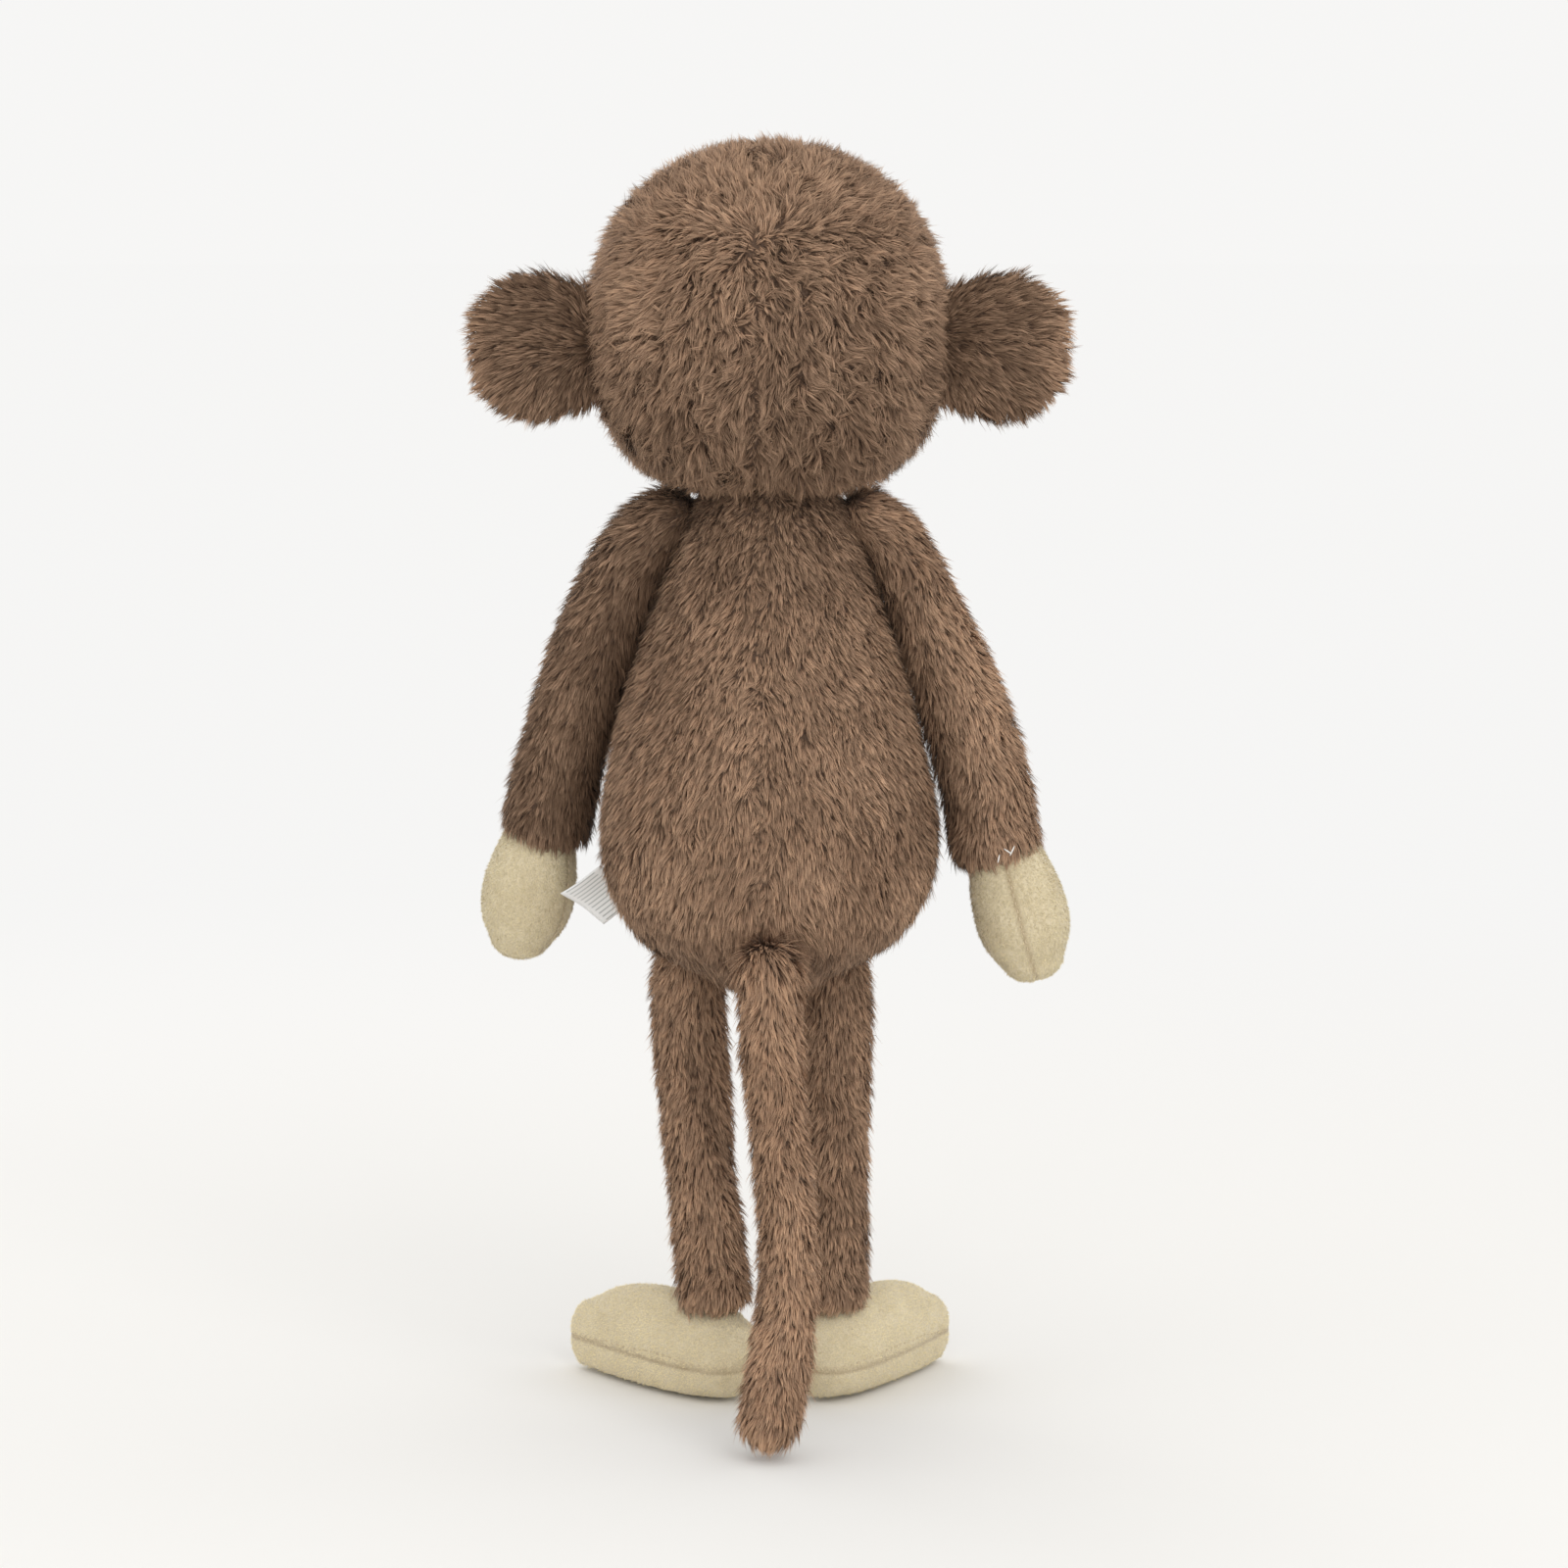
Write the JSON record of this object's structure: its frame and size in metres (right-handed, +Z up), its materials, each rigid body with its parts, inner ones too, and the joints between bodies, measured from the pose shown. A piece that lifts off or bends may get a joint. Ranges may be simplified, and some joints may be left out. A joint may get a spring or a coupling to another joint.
{
  "type": "stuffed monkey",
  "caption": "Stuffed monkey in brown long-pile fur with cream velour face, hands and feet, standing on its feet and tail.",
  "frame": {"origin": "on the floor, under the middle of the bounding box", "axes": "+Z up, -Y the way the face looks, +X towards the monkey's own left hand"},
  "size_m": [0.202, 0.1674, 0.43],
  "materials": {
    "fur": "long brown pile",
    "velour": "short cream nap",
    "stuffing": "white polyester fibre",
    "thread": "twisted thread",
    "bag_cloth": "plain weave",
    "pellets": "satin beads",
    "label_satin": "satin ribbon",
    "eye_plastic": "polished",
    "washer_plastic": "moulded",
    "nose_cloth": "short nap"
  },
  "bodies": {
    "torso": {"body_back_left": "fur", "body_back_right": "fur", "body_belly": "fur", "body_stuffing": "stuffing", "pellet_bag": "bag_cloth", "pellet_fill": "pellets", "back_closing_stitches": "thread", "care_label": "label_satin"},
    "neck": {"neck_stuffing": "stuffing"},
    "head": {"head_back_left": "fur", "head_back_right": "fur", "head_front": "fur", "head_stuffing": "stuffing", "face_panel": "velour", "muzzle_cover": "velour", "muzzle_stuffing": "stuffing", "nose": "nose_cloth", "mouth_stitch": "thread", "eye_left": "eye_plastic", "eye_right": "eye_plastic", "eye_washer_left": "washer_plastic", "eye_washer_right": "washer_plastic"},
    "tail_root": {"tail_anchor_stitches": "thread"},
    "tail": {"tail_sleeve": "fur", "tail_stuffing": "stuffing"},
    "ear_left": {"ear_left_back": "fur", "ear_left_batting": "stuffing", "ear_left_lining": "velour"},
    "arm_left_root": {"arm_left_anchor_stitches": "thread"},
    "arm_left": {"arm_left_sleeve": "fur", "arm_left_stuffing": "stuffing"},
    "hand_left": {"hand_left_back": "velour", "hand_left_palm": "velour", "hand_left_stuffing": "stuffing"},
    "leg_left": {"leg_left_sleeve": "fur", "leg_left_stuffing": "stuffing"},
    "foot_left": {"foot_left_upper": "velour", "foot_left_sole": "velour", "foot_left_pellets": "pellets"},
    "ear_right": {"ear_right_back": "fur", "ear_right_batting": "stuffing", "ear_right_lining": "velour"},
    "arm_right_root": {"arm_right_anchor_stitches": "thread"},
    "arm_right": {"arm_right_sleeve": "fur", "arm_right_stuffing": "stuffing"},
    "hand_right": {"hand_right_back": "velour", "hand_right_palm": "velour", "hand_right_stuffing": "stuffing"},
    "leg_right": {"leg_right_sleeve": "fur", "leg_right_stuffing": "stuffing"},
    "foot_right": {"foot_right_upper": "velour", "foot_right_sole": "velour", "foot_right_pellets": "pellets"}
  },
  "joints": [
    {"name": "head_turn", "type": "hinge", "parent": "torso", "child": "neck", "pos_m": [0, 0, 0.307], "axis": [0, 0, 1], "range_deg": [-45, 45], "stiffness_Nm_per_rad": 0.25},
    {"name": "head_nod", "type": "hinge", "parent": "neck", "child": "head", "pos_m": [0, 0, 0.307], "axis": [1, 0, 0], "range_deg": [-20, 22], "stiffness_Nm_per_rad": 0.35},
    {"name": "tail_sway", "type": "hinge", "parent": "torso", "child": "tail_root", "pos_m": [0, 0.05133, 0.15529], "axis": [0, 1, 0], "range_deg": [-45, 45]},
    {"name": "tail_lift", "type": "hinge", "parent": "tail_root", "child": "tail", "pos_m": [0, 0.05133, 0.15529], "axis": [1, 0, 0], "range_deg": [-10, 110]},
    {"name": "ear_left_fold", "type": "hinge", "parent": "head", "child": "ear_left", "pos_m": [0.0635, 0.0027, 0.361], "axis": [0, 0, 1], "range_deg": [-60, 60], "stiffness_Nm_per_rad": 0.02},
    {"name": "arm_left_swing", "type": "hinge", "parent": "torso", "child": "arm_left_root", "pos_m": [0.04157, 0, 0.29337], "axis": [0.9511, 0, 0.309], "range_deg": [-87.5, 57.5]},
    {"name": "arm_left_spread", "type": "hinge", "parent": "arm_left_root", "child": "arm_left", "pos_m": [0.04157, 0, 0.29337], "axis": [-0.0669, -0.9763, 0.2058], "range_deg": [0, 70]},
    {"name": "wrist_left_flex", "type": "hinge", "parent": "arm_left", "child": "hand_left", "pos_m": [0.07825, -0.02336, 0.19451], "axis": [0.9748, 0, 0.2229], "range_deg": [-25, 25], "stiffness_Nm_per_rad": 0.02},
    {"name": "hip_left_swing", "type": "hinge", "parent": "torso", "child": "leg_left", "pos_m": [0.024, -0.016, 0.13623], "axis": [-1, 0, 0], "range_deg": [-25, 90]},
    {"name": "ankle_left_tilt", "type": "hinge", "parent": "leg_left", "child": "foot_left", "pos_m": [0.0185, -0.01, 0.027], "axis": [-0.6691, -0.7431, 0], "range_deg": [-12, 12]},
    {"name": "ear_right_fold", "type": "hinge", "parent": "head", "child": "ear_right", "pos_m": [-0.0635, 0.0027, 0.361], "axis": [0, 0, 1], "range_deg": [-60, 60], "stiffness_Nm_per_rad": 0.02},
    {"name": "arm_right_swing", "type": "hinge", "parent": "torso", "child": "arm_right_root", "pos_m": [-0.04157, 0, 0.29337], "axis": [0.9511, 0, -0.309], "range_deg": [-100, 45]},
    {"name": "arm_right_spread", "type": "hinge", "parent": "arm_right_root", "child": "arm_right", "pos_m": [-0.04157, 0, 0.29337], "axis": [0, 1, 0], "range_deg": [0, 70]},
    {"name": "wrist_right_flex", "type": "hinge", "parent": "arm_right", "child": "hand_right", "pos_m": [-0.07904, 0, 0.19208], "axis": [0.9744, 0, -0.225], "range_deg": [-25, 25], "stiffness_Nm_per_rad": 0.02},
    {"name": "hip_right_swing", "type": "hinge", "parent": "torso", "child": "leg_right", "pos_m": [-0.024, -0.016, 0.13623], "axis": [-1, 0, 0], "range_deg": [-25, 90]},
    {"name": "ankle_right_tilt", "type": "hinge", "parent": "leg_right", "child": "foot_right", "pos_m": [-0.021, -0.01, 0.027], "axis": [-0.8387, 0.5446, 0], "range_deg": [-12, 12]}
  ]
}
